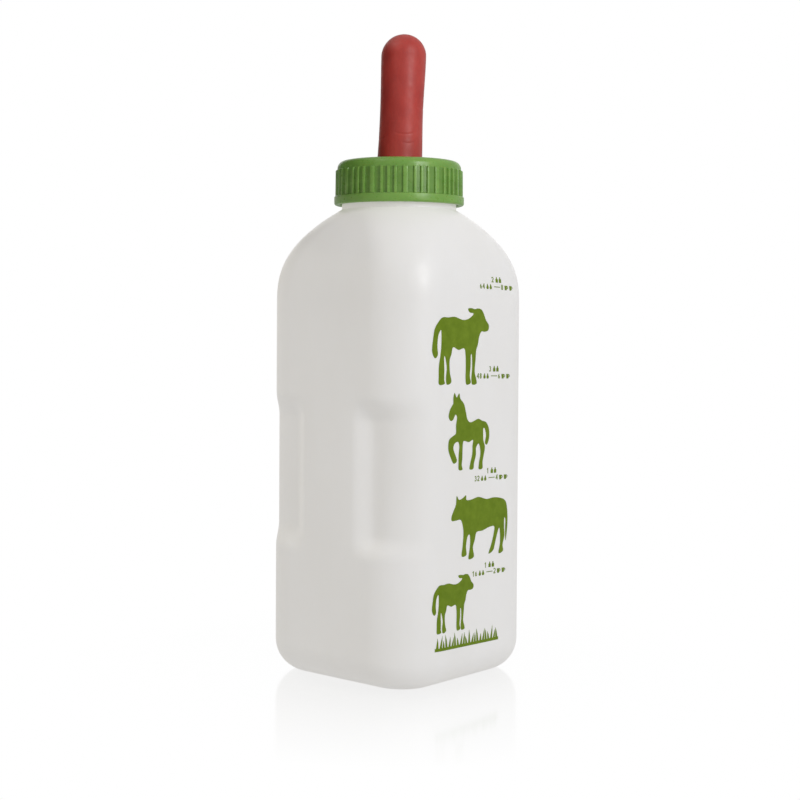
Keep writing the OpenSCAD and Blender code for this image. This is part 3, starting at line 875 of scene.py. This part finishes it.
def make_world():
    """A white room with a pure white backdrop, a little warmer and brighter on the camera's left."""
    world = bpy.data.worlds.new("studio")
    bpy.context.scene.world = world
    world.use_nodes = True
    tree = world.node_tree
    tree.nodes.clear()
    coords = tree.nodes.new("ShaderNodeTexCoord")

    def along(direction):
        dot = tree.nodes.new("ShaderNodeVectorMath")
        dot.operation = "DOT_PRODUCT"
        dot.inputs[1].default_value = direction
        tree.links.new(coords.outputs["Generated"], dot.inputs[0])
        return dot.outputs["Value"]

    side = tree.nodes.new("ShaderNodeValToRGB")
    for element, colour in zip(side.color_ramp.elements, ((1, 0.95, 0.83, 1), (1, 1, 1, 1))):
        element.color = colour
    tree.links.new(map_range(tree, along(RIGHT), (-0.8, 0.3), (0, 1)), side.inputs["Fac"])
    room = tree.nodes.new("ShaderNodeBackground")
    tree.links.new(side.outputs["Color"], room.inputs["Color"])
    strength = map_range(tree, along(RIGHT - 0.35 * AHEAD), (-1, 1), (ROOM_LEFT, ROOM_RIGHT))
    tree.links.new(strength, room.inputs["Strength"])
    backdrop = tree.nodes.new("ShaderNodeBackground")
    backdrop.inputs["Color"].default_value = (1, 1, 1, 1)

    def combined(operation, first, second):
        node = tree.nodes.new("ShaderNodeMath")
        node.operation = operation
        tree.links.new(first, node.inputs[0])
        tree.links.new(second, node.inputs[1])
        return node.outputs[0]

    # the floor mirrors the backdrop, which starts above the part of the room that the bottle's edges mirror
    behind = map_range(tree, along(AHEAD), (0.8, 0.9), (0, 1))
    raised = map_range(tree, along(Vector((0, 0, 1))), (0.12, 0.18), (0, 1))
    path = tree.nodes.new("ShaderNodeLightPath")
    seen = combined("MAXIMUM", path.outputs["Is Camera Ray"], combined("MINIMUM", behind, raised))
    mixed = tree.nodes.new("ShaderNodeMixShader")
    output = tree.nodes.new("ShaderNodeOutputWorld")
    tree.links.new(seen, mixed.inputs["Fac"])
    tree.links.new(room.outputs[0], mixed.inputs[1])
    tree.links.new(backdrop.outputs[0], mixed.inputs[2])
    tree.links.new(mixed.outputs[0], output.inputs[0])


def softbox(name, place, size, power):
    """A rectangular light that faces the middle of the bottle."""
    target = Vector((0, 0, 0.15))
    light = bpy.data.lights.new(name, "AREA")
    light.shape = "RECTANGLE"
    light.size, light.size_y = size
    light.energy = power
    made = bpy.data.objects.new(name, light)
    made.location = place
    made.rotation_euler = (target - place).to_track_quat("-Z", "Y").to_euler()
    bpy.context.collection.objects.link(made)


def make_flag():
    """A black card on the left, out of sight, that darkens the left side of the cap and nipple."""
    bpy.ops.mesh.primitive_plane_add(size=1)
    flag = bpy.context.object
    flag.name = "flag"
    flag.scale = (FLAG_HEIGHT, FLAG_WIDTH, 1)
    flag.location = Vector((0, 0, FLAG_Z)) - RIGHT * FLAG_LEFT
    flag.rotation_euler = RIGHT.to_track_quat("Z", "X").to_euler()
    flag.visible_camera = False
    material = bpy.data.materials.new("flag")
    material.use_nodes = True
    shader = material.node_tree.nodes["Principled BSDF"]
    shader.inputs["Base Color"].default_value = (0.01, 0.01, 0.01, 1)
    shader.inputs["Specular IOR Level"].default_value = 0
    flag.data.materials.append(material)


def make_camera():
    data = bpy.data.cameras.new("camera")
    data.lens = CAMERA_LENS
    data.shift_y = CAMERA_SHIFT
    data.sensor_width = CAMERA_SENSOR
    camera = bpy.data.objects.new("camera", data)
    place = (RIGHT * CAMERA_ASIDE - AHEAD * CAMERA_DISTANCE + Vector((0, 0, CAMERA_Z))) * MM
    turned = (Matrix.Rotation(CAMERA_YAW - CAMERA_TURN, 4, "Z")
              @ Matrix.Rotation(math.pi / 2 - CAMERA_PITCH, 4, "X") @ Matrix.Rotation(CAMERA_ROLL, 4, "Z"))
    camera.matrix_world = Matrix.Translation(place) @ turned
    bpy.context.collection.objects.link(camera)
    bpy.context.scene.camera = camera


make_floor()
make_world()
make_flag()
softbox("key", RIGHT * 0.8 - AHEAD * 0.88 + Vector((0, 0, 0.7)), size=(0.35, 0.7), power=6.6)
softbox("top", RIGHT * -0.6 - AHEAD * 0.3 + Vector((0, 0, 1.1)), size=(0.8, 0.8), power=1.6)
make_camera()
bpy.context.scene.view_settings.view_transform = "Standard"
